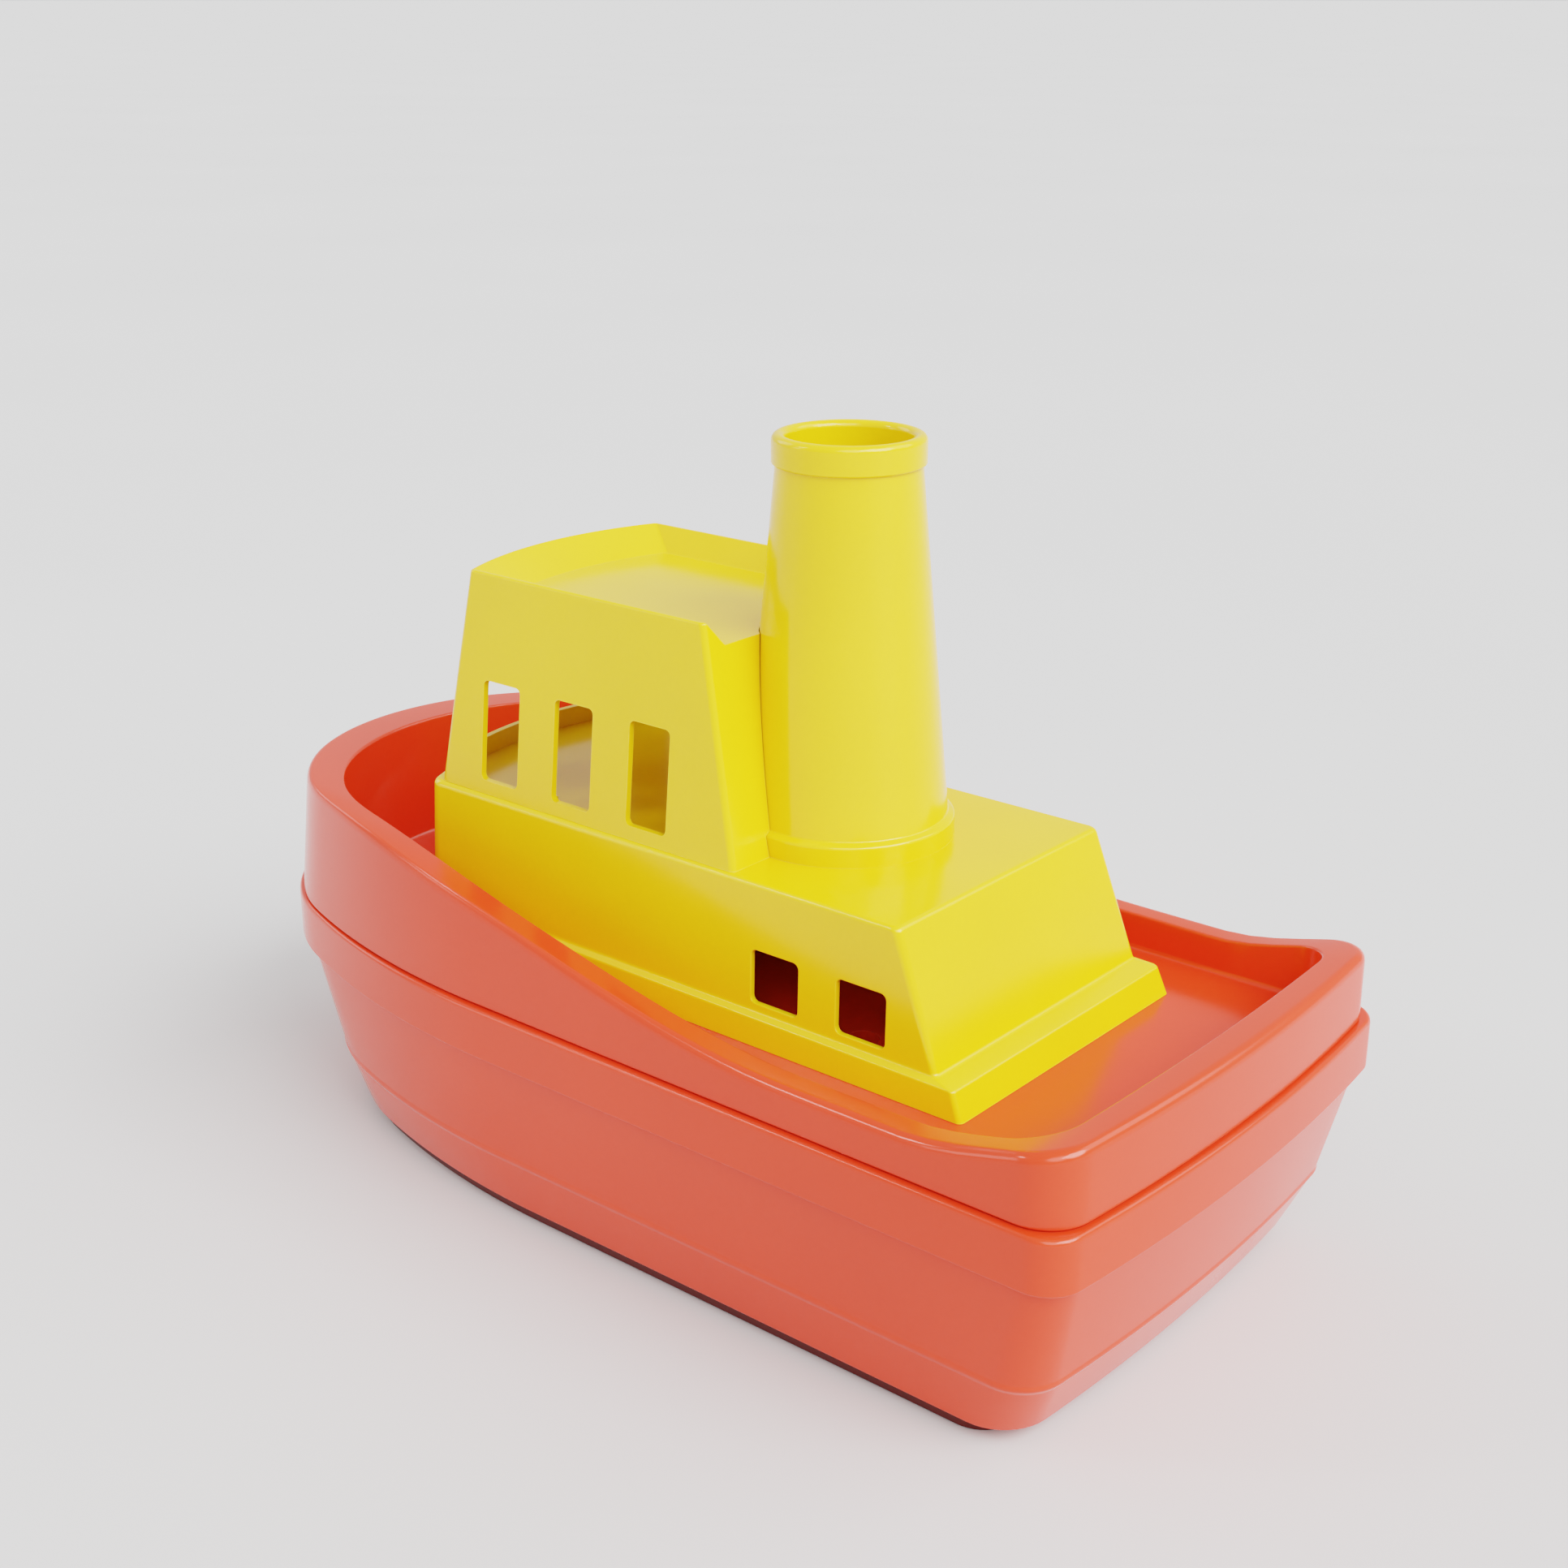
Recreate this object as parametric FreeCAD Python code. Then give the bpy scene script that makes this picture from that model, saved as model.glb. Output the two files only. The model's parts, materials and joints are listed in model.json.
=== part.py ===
"""Toy boat in moulded plastic, about 23 cm long.

The red hull is two mouldings: a tray with a rubbing band round its top, and a deck
moulding whose bulwark nests inside the tray.  Four screws under the cabin hold them
together.  The yellow superstructure is a cabin, a wheelhouse clipped to the cabin roof
and a funnel pressed into it.  Its four pegs stand in sockets in the deck, so it lifts off.

Millimetres.  +X is the bow, +Y is port and +Z is up.  The origin is on the floor under
the middle of the hull.
"""
import FreeCAD, Part
import math
import os
from collections import namedtuple

# ---------------------------------------------------------------- driving dimensions

# whole hull
LENGTH = 233.6              # over the rubbing band
BEAM = 113.4                # over the rubbing band
HULL_WALL = 2.0
DECK_WALL = 1.6
FIT = 0.15                  # gap between mouldings that slide into each other

# heights of the hull's levels
BILGE_Z = 2.0               # lower edge of the sides, which overhang the base
BASE_INSET = 2.2            # of the base, at the sides and the bow
BASE_SHORT = 6.0            # from the transom's lower edge to the base
CHINE_Z = 15.5
BAND_LOW_Z = 38.2
BAND_TOP_Z = 48.8
DECK_Z = 49.5
SEAT_Z = 45.2               # ledge inside the tray that carries the deck moulding
OVERHANG_Z = 49.6           # underside of the bulwark, over the groove above the band
OVERHANG = 0.6

# the sheer, which is the height of the bulwark's rim along the boat
SHEER_LOW = 57.0
SHEER_BOW_RISE = 19.6
SHEER_BOW_X = (-55.0, 72.0)         # where the rise starts and where it is complete
SHEER_STERN_RISE = 6.5
SHEER_STERN_X = (-80.0, -116.0)

# superstructure heights
SKIRT_TOP_Z = 55.0
CABIN_FOOT_Z = 55.8
CABIN_ROOF_Z = 81.2
HOUSE_TOP_Z = 126.0
ROOF_TRAY_Z = 121.2
HOUSE_WALL = 1.3

# cabin windows, one row on each side
CABIN_WINDOW_W = 11.0
CABIN_WINDOW_H = 10.4
CABIN_WINDOW_SILL_Z = 57.5
CABIN_WINDOW_X = (-55.0, -34.9)

# wheelhouse windows, one row on each side, and the windscreen opening
SIDE_WINDOW_W = 10.2
SIDE_WINDOW_H = 20.4
SIDE_WINDOW_SILL_Z = 84.1
SIDE_WINDOW_PITCH = 20.2
SIDE_WINDOW_COUNT = 3
SIDE_WINDOW_AFT_X = -1.4
WINDSCREEN_W = 44.0
WINDSCREEN_SILL_Z = 85.5
WINDSCREEN_TOP_Z = 105.0
WINDSCREEN_AFT_X = 45.0     # the opening is cut from here forward
WINDSCREEN_CORNER_R = 2.0

# funnel
FUNNEL_X = -25.3
FUNNEL_TOP_Z = 158.6
FUNNEL_RING_H = 5.7
FUNNEL_RING_R = 14.4
FUNNEL_MOUTH_R = 11.7
FUNNEL_NECK_R = 13.7
FUNNEL_FOOT_R = 20.2
FUNNEL_COLLAR_R = 21.1
FUNNEL_COLLAR_H = 4.0
FUNNEL_COLLAR_SLOPE_H = 0.7
FUNNEL_RING_ROUND_H = 1.2   # height of the round-over on top of the ring
FUNNEL_RING_CHAMFER = 0.4
FUNNEL_WALL = 2.0
SPIGOT_R = 17.0
SPIGOT_L = 5.5
SPIGOT_BEAD = 0.5           # how far the bead under the roof stands out
SPIGOT_LEAD = 1.0           # chamfer on its lower end

# fixings
SCREW_X = (-45.0, 42.0)
SCREW_Y = 19.0
SCREW_HEAD_Z = 26.0         # top of the land that the screw heads clamp
SCREW_LENGTH = 14.0
SCREW_POINT_L = 2.0
SCREW_R = 1.45
SCREW_HEAD_R = 2.8
SCREW_HEAD_H = 1.9
SCREW_HEAD_CHAMFER = 0.7
CROSS_REACH = 1.5           # from the middle of the head to the end of each slot
CROSS_HALF_W = 0.25
CROSS_DEPTH = 1.1
BOSS_R = 4.4
PILOT_FLOOR = 5.0           # height of the bottom of the screw holes
PEG_R = 2.8
PEG_DEPTH = 9.0
PEG_AFT_X = -65.0
PEG_FORE_X = 50.0
PEG_AFT_Y = 26.0
PEG_FORE_Y = 22.0
CLIP_X = (8.7, 28.9)
CLIP_W = 6.0
CLIP_Y = 27.6               # inner face of the clip legs
CLIP_T = 1.5
CLIP_CATCH = 0.8
CLIP_ROOT_H = 2.4
CLIP_NOSE_H = 1.6           # height of the sloping nose of the catch
CLIP_SLACK = 0.1            # between the catch and the roof that it holds

# clearances round the screws
HEAD_CLEARANCE = 0.3
SHANK_CLEARANCE = 0.1
THREAD_CLEARANCE = 0.05

# rounded edges
BILGE_EDGE_R = 0.5
BAND_LIP_R = 0.9
RIM_EDGE_R = 0.8
ROOF_EDGE_R = 1.4
HOUSE_EDGE_R = 0.6
SKIRT_EDGE_R = 0.3
WINDOW_CORNER_R = 1.2

ABOVE_RIM_Z = 92.0          # higher than the bulwark, for solids that are cut to it

# ---------------------------------------------------------------- plan outlines

# A hull outline at height z: parallel sides, a bow of two tangent arcs on each side of
# the centreline and a slightly round transom with round corners.
HullPlan = namedtuple("HullPlan", "z half bow stern side_r tip_r transom_r corner_r")

# A superstructure outline at height z: parallel sides, a straight aft end and a round
# front end, with round corners.
HousePlan = namedtuple("HousePlan", "z half front aft front_r fore_corner_r aft_corner_r")

BAND = HullPlan(BAND_LOW_Z, BEAM / 2, LENGTH / 2, -LENGTH / 2, 192.0, 48.2, 430.0, 7.4)
DECK_EDGE = HullPlan(OVERHANG_Z, 55.3, 115.4, -115.4, 190.0, 48.0, 430.0, 9.2)
RIM = HullPlan(SHEER_LOW + SHEER_BOW_RISE, 54.9, 110.8, -115.4, 167.0, 48.4, 430.0, 9.2)
RIM_INNER = HullPlan(RIM.z, 49.8, 99.9, -108.4, 300.0, 45.8, 700.0, 9.6)
WELL_FLOOR = HullPlan(DECK_Z, 49.1, 98.6, -107.4, 300.0, 45.1, 700.0, 9.0)
WALL_TOP = HullPlan(BAND_LOW_Z, 55.4, 114.1, -115.2, 190.0, 47.8, 430.0, 8.2)
CHINE = HullPlan(CHINE_Z, 52.8, 105.0, -109.9, 172.0, 47.5, 440.0, 8.6)
BILGE = HullPlan(BILGE_Z, 49.0, 98.7, -103.2, 200.0, 44.2, 470.0, 10.2)

SKIRT_FOOT = HousePlan(DECK_Z, 35.0, 70.6, -78.9, 76.0, 5.5, 1.6)
SKIRT_TOP = HousePlan(SKIRT_TOP_Z, 34.5, 69.6, -76.6, 75.0, 5.0, 1.4)
CABIN_FOOT = HousePlan(CABIN_FOOT_Z, 33.2, 67.4, -72.0, 74.0, 4.2, 1.2)
CABIN_ROOF = HousePlan(CABIN_ROOF_Z, 32.5, 66.0, -62.5, 72.0, 3.6, 1.6)
HOUSE_FOOT = HousePlan(CABIN_ROOF_Z, 31.6, 63.4, -23.9, 70.0, 2.0, 1.2)
HOUSE_TOP = HousePlan(HOUSE_TOP_Z, 27.2, 55.1, -13.2, 66.0, 1.6, 1.2)
TRAY_FLOOR = HousePlan(ROOF_TRAY_Z, 22.5, 46.4, -60.0, 62.0, 1.0, 1.0)


def inset(plan, distance):
    """The same outline moved in all round, with its arcs kept concentric."""
    smaller = {"half": plan.half - distance}
    for name in plan._fields:
        if name in ("side_r", "tip_r", "transom_r", "front_r"):
            smaller[name] = getattr(plan, name) - distance
        elif name in ("corner_r", "fore_corner_r", "aft_corner_r"):
            smaller[name] = max(getattr(plan, name) - distance, 0.3)
        elif name in ("bow", "front"):
            smaller[name] = getattr(plan, name) - distance
        elif name in ("stern", "aft"):
            smaller[name] = getattr(plan, name) + distance
    return plan._replace(**smaller)


def at_height(lower, upper, z):
    """The outline at height z on the straight walls through two outlines."""
    share = (z - lower.z) / (upper.z - lower.z)
    return type(lower)(*[a + (b - a) * share for a, b in zip(lower, upper)])


def arc(start, middle, end):
    return Part.Arc(start, middle, end).toShape()


def round_end_corner(centre_x, end_r, half, corner_r, way):
    """Corner between a side and a round end: the corner's centre and its end's angle.

    way is 1 for an end that faces +X and -1 for one that faces -X.
    """
    y = half - corner_r
    x = centre_x + way * math.sqrt((end_r - corner_r) ** 2 - y ** 2)
    return x, y, math.atan2(y, x - centre_x)


def polar(x, y, radius, angle, z):
    return FreeCAD.Vector(x + radius * math.cos(angle), y + radius * math.sin(angle), z)


def mirrored(point):
    return FreeCAD.Vector(point.x, -point.y, point.z)


def closed_wire(centre_points, port_runs):
    """A wire that is the same on both sides of the centreline.

    port_runs goes round the port side from bow to stern.  Each run is the two ends of a
    line, or the start, middle and end of an arc.  centre_points are the middles of the
    arcs that close the wire at the bow and at the stern; None there makes a straight end.
    """
    bow_point, stern_point = centre_points
    port = []
    for run in port_runs:
        port.append(Part.makeLine(*run) if len(run) == 2 else arc(*run))
    starboard = []
    for run in reversed(port_runs):
        back = [mirrored(point) for point in reversed(run)]
        starboard.append(Part.makeLine(*back) if len(back) == 2 else arc(*back))
    last = port_runs[-1][-1]
    first = port_runs[0][0]
    if stern_point is None:
        stern = Part.makeLine(last, mirrored(last))
    else:
        stern = arc(last, stern_point, mirrored(last))
    return Part.Wire(port + [stern] + starboard + [arc(mirrored(first), bow_point, first)])


def hull_wire(plan):
    z = plan.z
    tip_x = plan.bow - plan.tip_r
    side_y = plan.half - plan.side_r
    side_x = tip_x - math.sqrt((plan.side_r - plan.tip_r) ** 2 - side_y ** 2)
    meet = math.atan2(-side_y, tip_x - side_x)
    transom_x = plan.stern + plan.transom_r
    corner_x, corner_y, corner_end = round_end_corner(
        transom_x, plan.transom_r, plan.half, plan.corner_r, -1)
    up = math.pi / 2
    runs = [
        [polar(side_x, side_y, plan.side_r, angle, z) for angle in (meet, (meet + up) / 2, up)],
        [FreeCAD.Vector(side_x, plan.half, z), FreeCAD.Vector(corner_x, plan.half, z)],
        [polar(corner_x, corner_y, plan.corner_r, angle, z)
         for angle in (up, (up + corner_end) / 2, corner_end)],
    ]
    ends = FreeCAD.Vector(plan.bow, 0, z), FreeCAD.Vector(plan.stern, 0, z)
    return closed_wire(ends, runs)


def house_wire(plan):
    z = plan.z
    front_x = plan.front - plan.front_r
    fore_x, fore_y, fore_end = round_end_corner(
        front_x, plan.front_r, plan.half, plan.fore_corner_r, 1)
    aft_x = plan.aft + plan.aft_corner_r
    aft_y = plan.half - plan.aft_corner_r
    up = math.pi / 2
    runs = [
        [polar(fore_x, fore_y, plan.fore_corner_r, angle, z)
         for angle in (fore_end, (fore_end + up) / 2, up)],
        [FreeCAD.Vector(fore_x, plan.half, z), FreeCAD.Vector(aft_x, plan.half, z)],
        [polar(aft_x, aft_y, plan.aft_corner_r, angle, z)
         for angle in (up, 0.75 * math.pi, math.pi)],
    ]
    return closed_wire((FreeCAD.Vector(plan.front, 0, z), None), runs)


def walls_through(plans):
    """Solid with straight walls between outlines, lowest first."""
    make_wire = hull_wire if isinstance(plans[0], HullPlan) else house_wire
    return Part.makeLoft([make_wire(plan) for plan in plans], True, True)


# ---------------------------------------------------------------- small helpers

def box(x_range, y_range, z_range):
    size = [high - low for low, high in (x_range, y_range, z_range)]
    return Part.makeBox(*size, FreeCAD.Vector(x_range[0], y_range[0], z_range[0]))


def post(x, y, radius, z_low, z_high):
    return Part.makeCylinder(radius, z_high - z_low, FreeCAD.Vector(x, y, z_low))


def mirror_pair(shape):
    """The shape and its mirror image on the other side of the centreline."""
    return [shape, shape.mirror(FreeCAD.Vector(0, 0, 0), FreeCAD.Vector(0, 1, 0))]


def joined(shapes):
    """The shapes fused into one."""
    solids = [solid for shape in shapes for solid in shape.Solids]
    return solids[0].multiFuse(solids[1:]).removeSplitter()


def loose(shapes):
    """The shapes kept apart in one compound."""
    return Part.makeCompound(shapes)


def rounded_slab(half_w, low, high, radius, thickness):
    """Upright window-shaped slab centred on X = 0, from Y = 0 to Y = thickness."""
    slab = box((-half_w, half_w), (0, thickness), (low, high))
    across = [edge for edge in slab.Edges if abs(edge.tangentAt(edge.FirstParameter).y) > 0.9]
    return slab.makeFillet(radius, across)


def window_row(centres_x, width, sill_z, height):
    """Cutters for the same windows through both side walls."""
    cutters = []
    for x in centres_x:
        slab = rounded_slab(width / 2, sill_z, sill_z + height, WINDOW_CORNER_R, BEAM)
        slab.translate(FreeCAD.Vector(x, -BEAM / 2, 0))
        cutters.append(slab)
    return cutters


def revolved(points, axis_x):
    """Solid of revolution about the vertical line at axis_x from (radius, z) points."""
    corners = [FreeCAD.Vector(axis_x + r, 0, z) for r, z in points]
    face = Part.Face(Part.makePolygon(corners + corners[:1]))
    return face.revolve(FreeCAD.Vector(axis_x, 0, 0), FreeCAD.Vector(0, 0, 1), 360)


def edges_where(shape, test):
    """Edges whose whole length passes test(point)."""
    found = []
    for edge in shape.Edges:
        if edge.Length > 0.05 and all(test(point) for point in edge.discretize(9)):
            found.append(edge)
    return found


def level_edges(shape, z):
    return edges_where(shape, lambda point: abs(point.z - z) < 0.01)


# ---------------------------------------------------------------- the sheer

def smooth_share(x, span):
    """0 before the start of the span and 1 after its end, with an S-curve between."""
    share = (x - span[0]) / (span[1] - span[0])
    share = min(max(share, 0.0), 1.0)
    return 3 * share ** 2 - 2 * share ** 3


def sheer_height(x):
    bow = SHEER_BOW_RISE * smooth_share(x, SHEER_BOW_X)
    stern = SHEER_STERN_RISE * smooth_share(x, SHEER_STERN_X)
    return SHEER_LOW + bow + stern


def under_sheer(drop):
    """Everything more than drop below the sheer."""
    reach = LENGTH / 2 + 10
    steps = 28
    top = []
    for i in range(steps + 1):
        x = -reach + 2 * reach * i / steps
        top.append(FreeCAD.Vector(x, -BEAM, sheer_height(x) - drop))
    curve = Part.BSplineCurve()
    curve.interpolate(top)
    low_bow = FreeCAD.Vector(reach, -BEAM, -10)
    low_stern = FreeCAD.Vector(-reach, -BEAM, -10)
    sides = [Part.makeLine(top[-1], low_bow), Part.makeLine(low_bow, low_stern),
             Part.makeLine(low_stern, top[0])]
    face = Part.Face(Part.Wire([curve.toShape()] + sides))
    return face.extrude(FreeCAD.Vector(0, 2 * BEAM, 0))


def on_sheer(point):
    return abs(point.z - sheer_height(point.x)) < 0.06


# ---------------------------------------------------------------- hull mouldings

def screw_places():
    return [(x, y) for x in SCREW_X for y in (-SCREW_Y, SCREW_Y)]


def peg_places():
    aft = [(PEG_AFT_X, y) for y in (-PEG_AFT_Y, PEG_AFT_Y)]
    fore = [(PEG_FORE_X, y) for y in (-PEG_FORE_Y, PEG_FORE_Y)]
    return aft + fore


def make_hull_shell():
    """Lower hull: set-in base, chine, rubbing band and a seat for the deck moulding."""
    outer = walls_through([BILGE, CHINE, WALL_TOP._replace(z=SEAT_Z)])
    outer = outer.makeFillet(BILGE_EDGE_R, level_edges(outer, BILGE_Z))
    base = inset(BILGE, BASE_INSET)._replace(stern=BILGE.stern + BASE_SHORT)
    foot = walls_through([base._replace(z=0), base._replace(z=BILGE_Z + 1)])
    band = walls_through([BAND, BAND._replace(z=BAND_TOP_Z)])
    band = band.makeFillet(BAND_LIP_R, level_edges(band, BAND_TOP_Z))
    body = joined([outer, foot, band])

    floor = at_height(BILGE, CHINE, BILGE_Z + HULL_WALL)
    inner_top = WALL_TOP._replace(z=SEAT_Z)
    cavity = walls_through([inset(plan, HULL_WALL) for plan in (floor, CHINE, inner_top)])
    pocket = inset(base, HULL_WALL)
    pocket = walls_through([pocket._replace(z=HULL_WALL), pocket._replace(z=floor.z + 1)])
    collar_plan = inset(DECK_EDGE, OVERHANG - FIT)
    collar = walls_through([collar_plan._replace(z=SEAT_Z), collar_plan._replace(z=DECK_Z)])
    body = body.cut(joined([cavity, pocket, collar]))

    bosses = [post(x, y, BOSS_R, HULL_WALL / 2, SCREW_HEAD_Z - HULL_WALL)
              for x, y in screw_places()]
    body = joined([body] + bosses)
    pilots = [post(x, y, SCREW_R + THREAD_CLEARANCE, PILOT_FLOOR, SCREW_HEAD_Z)
              for x, y in screw_places()]
    return body.cut(loose(pilots))


def bulwark_block():
    """The deck moulding as if it were solid, with its rim cut to the sheer."""
    over = at_height(DECK_EDGE, RIM, ABOVE_RIM_Z)
    bulwark = walls_through([DECK_EDGE, over]).common(under_sheer(0))
    nested = inset(DECK_EDGE, OVERHANG)
    return joined([bulwark, walls_through([nested._replace(z=SEAT_Z), nested._replace(z=DECK_Z + 1)])])


def make_deck_shell():
    """Deck with its bulwark: a hollow wall that is open underneath."""
    block = bulwark_block()
    well = walls_through([WELL_FLOOR, at_height(WELL_FLOOR, RIM_INNER, ABOVE_RIM_Z)])
    deck = block.cut(well)
    deck = deck.makeFillet(RIM_EDGE_R, edges_where(deck, on_sheer))

    nested = inset(DECK_EDGE, OVERHANG)
    shoulder = at_height(DECK_EDGE, RIM, OVERHANG_Z + DECK_WALL)
    over = at_height(DECK_EDGE, RIM, ABOVE_RIM_Z)
    inside = walls_through([inset(plan, DECK_WALL) for plan in
                            (nested._replace(z=SEAT_Z - 1), nested, shoulder, over)])
    inside = inside.common(under_sheer(DECK_WALL))
    lining_low = WELL_FLOOR._replace(z=DECK_Z - DECK_WALL)
    lining_high = at_height(WELL_FLOOR, RIM_INNER, ABOVE_RIM_Z)
    lining = walls_through([inset(plan, -DECK_WALL) for plan in (lining_low, lining_high)])
    deck = deck.cut(inside.cut(lining))

    under = DECK_Z - DECK_WALL / 2
    wells = [post(x, y, BOSS_R, SCREW_HEAD_Z - HULL_WALL, under) for x, y in screw_places()]
    sockets = [post(x, y, PEG_R + DECK_WALL + FIT, DECK_Z - PEG_DEPTH - 2 * DECK_WALL, under)
               for x, y in peg_places()]
    deck = joined([deck] + wells + sockets)

    holes = []
    for x, y in screw_places():
        holes.append(post(x, y, SCREW_HEAD_R + HEAD_CLEARANCE, SCREW_HEAD_Z, DECK_Z + 1))
        holes.append(post(x, y, SCREW_R + SHANK_CLEARANCE, PILOT_FLOOR, SCREW_HEAD_Z + 1))
    for x, y in peg_places():
        holes.append(post(x, y, PEG_R + FIT, DECK_Z - PEG_DEPTH - DECK_WALL / 2, DECK_Z + 1))
    return deck.cut(loose(holes))


def make_screw(x, y):
    """Pan-head screw with a cross recess, standing head up."""
    bottom = SCREW_HEAD_Z - SCREW_LENGTH
    top = SCREW_HEAD_Z + SCREW_HEAD_H
    profile = [(0, bottom), (SCREW_R / 2, bottom), (SCREW_R, bottom + SCREW_POINT_L),
               (SCREW_R, SCREW_HEAD_Z), (SCREW_HEAD_R, SCREW_HEAD_Z),
               (SCREW_HEAD_R, top - SCREW_HEAD_CHAMFER), (SCREW_HEAD_R - SCREW_HEAD_CHAMFER, top),
               (0, top)]
    screw = revolved(profile, x)
    screw.translate(FreeCAD.Vector(0, y, 0))
    recess = []
    for half_x, half_y in ((CROSS_REACH, CROSS_HALF_W), (CROSS_HALF_W, CROSS_REACH)):
        recess.append(box((x - half_x, x + half_x), (y - half_y, y + half_y),
                          (top - CROSS_DEPTH, top + 1)))
    return screw.cut(joined(recess))


def make_deck_screws():
    return loose([make_screw(x, y) for x, y in screw_places()])


# ---------------------------------------------------------------- superstructure

def make_cabin():
    """Lower cabin on its flared skirt, open underneath, with pegs for the deck."""
    block = walls_through([SKIRT_FOOT, SKIRT_TOP, CABIN_FOOT, CABIN_ROOF])
    cabin = block.makeFillet(ROOF_EDGE_R, level_edges(block, CABIN_ROOF_Z))
    cabin = cabin.makeFillet(SKIRT_EDGE_R, level_edges(cabin, SKIRT_TOP_Z))

    ceiling = at_height(CABIN_FOOT, CABIN_ROOF, CABIN_ROOF_Z - HOUSE_WALL)
    room = walls_through([inset(plan, HOUSE_WALL) for plan in
                          (SKIRT_FOOT, SKIRT_TOP, CABIN_FOOT, ceiling)])
    cabin = cabin.cut(room)
    cabin = cabin.cut(loose(window_row(
        CABIN_WINDOW_X, CABIN_WINDOW_W, CABIN_WINDOW_SILL_Z, CABIN_WINDOW_H)))

    pegs = []
    for x, y in peg_places():
        rib = post(x, y, PEG_R, DECK_Z, CABIN_ROOF_Z - HOUSE_WALL / 2).common(block)
        pegs.append(joined([rib, post(x, y, PEG_R, DECK_Z - PEG_DEPTH, DECK_Z + 1)]))
    cabin = joined([cabin] + pegs)

    funnel_hole = post(FUNNEL_X, 0, SPIGOT_R + FIT, CABIN_ROOF_Z - 10, CABIN_ROOF_Z + 1)
    slots = []
    for x in CLIP_X:
        slot = box((x - CLIP_W / 2 - FIT, x + CLIP_W / 2 + FIT),
                   (CLIP_Y - FIT, CLIP_Y + CLIP_T + CLIP_CATCH),
                   (CABIN_ROOF_Z - 2 * HOUSE_WALL, CABIN_ROOF_Z + 1))
        slots += mirror_pair(slot)
    return cabin.cut(loose([funnel_hole] + slots))


def clip(x):
    """Snap clip on the port wall of the wheelhouse, with its catch under the roof."""
    half = CLIP_W / 2
    under = CABIN_ROOF_Z - HOUSE_WALL - CLIP_SLACK
    tip = under - CLIP_NOSE_H
    root = box((x - half, x + half), (CLIP_Y, HOUSE_FOOT.half - HOUSE_WALL / 2),
               (CABIN_ROOF_Z, CABIN_ROOF_Z + CLIP_ROOT_H))
    leg = box((x - half, x + half), (CLIP_Y, CLIP_Y + CLIP_T), (tip, CABIN_ROOF_Z + 1))
    inside = CLIP_Y - CLIP_CATCH
    corners = [FreeCAD.Vector(x - half, y, z) for y, z in
               ((CLIP_Y, under), (inside, under), (inside, under - CLIP_NOSE_H / 4), (CLIP_Y, tip))]
    catch = Part.Face(Part.makePolygon(corners + corners[:1])).extrude(FreeCAD.Vector(CLIP_W, 0, 0))
    return joined([root, leg, catch])


def funnel_outline(grow):
    """(radius, z) points up the outside of the funnel above the cabin roof."""
    collar_top = CABIN_ROOF_Z + FUNNEL_COLLAR_H
    tube_foot = collar_top + FUNNEL_COLLAR_SLOPE_H
    neck = FUNNEL_TOP_Z - FUNNEL_RING_H
    taper = (FUNNEL_FOOT_R - FUNNEL_NECK_R) / (neck - CABIN_ROOF_Z)
    at_collar = FUNNEL_FOOT_R - taper * (tube_foot - CABIN_ROOF_Z)
    return [(FUNNEL_COLLAR_R + grow, CABIN_ROOF_Z), (FUNNEL_COLLAR_R + grow, collar_top),
            (at_collar + grow, tube_foot), (FUNNEL_NECK_R + grow, neck)]


def funnel_space(grow):
    """Solid round the funnel, for the niche that the wheelhouse leaves for it."""
    outline = funnel_outline(grow)
    points = [(0, outline[0][1])] + outline + [(0, outline[-1][1])]
    return revolved(points, FUNNEL_X)


def make_wheelhouse():
    """Wheelhouse walls and roof, open underneath, with a niche round the funnel."""
    house = walls_through([HOUSE_FOOT, HOUSE_TOP])
    house = house.makeFillet(HOUSE_EDGE_R, level_edges(house, HOUSE_TOP_Z))
    tray_top = inset(HOUSE_TOP, HOUSE_EDGE_R + 0.2)._replace(aft=TRAY_FLOOR.aft)
    house = house.cut(walls_through([TRAY_FLOOR, tray_top]))

    ceiling_z = ROOF_TRAY_Z - HOUSE_WALL
    ceiling = at_height(HOUSE_FOOT, HOUSE_TOP, ceiling_z)
    room = walls_through([inset(HOUSE_FOOT, HOUSE_WALL), inset(ceiling, HOUSE_WALL)])
    room = room.cut(funnel_space(FIT + HOUSE_WALL))
    house = house.cut(room)

    centres = [SIDE_WINDOW_AFT_X + i * SIDE_WINDOW_PITCH for i in range(SIDE_WINDOW_COUNT)]
    openings = window_row(centres, SIDE_WINDOW_W, SIDE_WINDOW_SILL_Z, SIDE_WINDOW_H)
    house = house.cut(loose(openings + [windscreen_cutter()]))
    house = house.cut(funnel_space(FIT))

    clips = []
    for x in CLIP_X:
        clips += mirror_pair(clip(x))
    return joined([house] + clips)


def windscreen_cutter():
    slab = rounded_slab(WINDSCREEN_W / 2, WINDSCREEN_SILL_Z, WINDSCREEN_TOP_Z,
                        WINDSCREEN_CORNER_R, LENGTH / 2)
    slab.rotate(FreeCAD.Vector(0, 0, 0), FreeCAD.Vector(0, 0, 1), -90)
    slab.translate(FreeCAD.Vector(WINDSCREEN_AFT_X, 0, 0))
    return slab


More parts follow.
